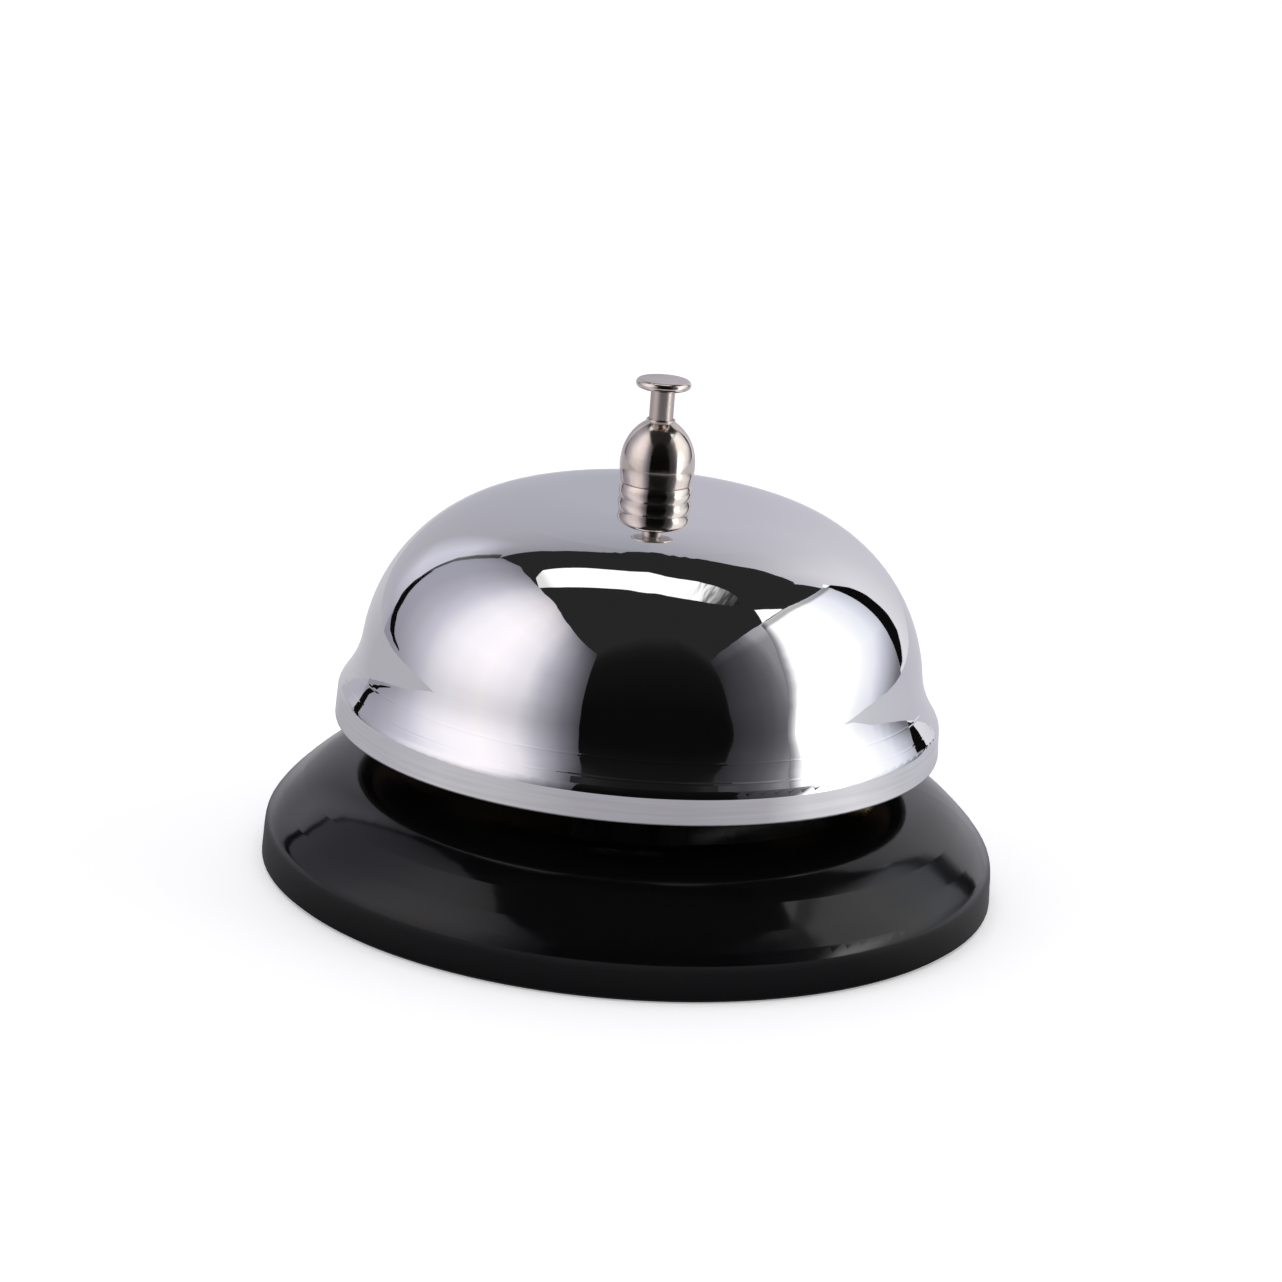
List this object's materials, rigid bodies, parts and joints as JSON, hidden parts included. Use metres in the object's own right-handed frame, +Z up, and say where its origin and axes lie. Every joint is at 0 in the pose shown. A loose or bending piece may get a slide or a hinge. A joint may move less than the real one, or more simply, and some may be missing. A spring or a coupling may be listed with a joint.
{
  "type": "service bell",
  "caption": "Counter service bell: polished dome on a glossy black flared base, rung by pressing a plunger that rocks a hammer inside.",
  "frame": {"origin": "centre of the rubber foot ring's resting plane, on the bell's axis", "axes": "+Z up along the bell's axis towards the push button; +X is the way the hammer points; the frame's legs stand at +Y and -Y"},
  "size_m": [0.085, 0.085, 0.0584],
  "materials": {
    "black_paint": "gloss black stoved enamel",
    "bell_chrome": "bright chrome plate",
    "nickel": "bright nickel plate",
    "zinc_steel": "zinc-plated steel",
    "spring_steel": "drawn spring wire",
    "brass": "turned brass",
    "black_rubber": "matt moulded rubber",
    "grey_felt": "pressed felt"
  },
  "bodies": {
    "base": {"foot_ring": "black_rubber", "base_shell": "black_paint", "frame_rivets": "zinc_steel", "bell_frame": "zinc_steel", "center_post": "zinc_steel", "pivot_pin": "zinc_steel", "pin_clip": "spring_steel", "pivot_spacers": "brass", "rest_pad": "grey_felt", "seat_nut": "zinc_steel", "seat_washer": "zinc_steel", "dome_gasket": "black_rubber", "bell_dome": "bell_chrome", "nut_washer": "nickel", "cap_nut": "nickel", "spring_seat": "zinc_steel", "return_spring": "spring_steel"},
    "plunger": {"push_button": "nickel", "plunger_stem": "nickel", "stem_collar": "zinc_steel"},
    "hammer": {"hammer_lever": "zinc_steel", "hammer_head": "brass"}
  },
  "joints": [
    {"name": "button_press", "type": "slide", "parent": "base", "child": "plunger", "axis": [0, 0, -1], "range_m": [0, 0.003], "stiffness_N_per_m": 300, "springref_m": -0.003, "deforming": ["return_spring"]},
    {"name": "hammer_swing", "type": "hinge", "parent": "base", "child": "hammer", "pos_m": [0.0042, 0, 0.0245], "axis": [0, -1, 0], "range_deg": [0, 40.2]}
  ],
  "couplings": [
    {"joint": "hammer_swing", "follows": "button_press", "rad_per_m": 233.8}
  ]
}
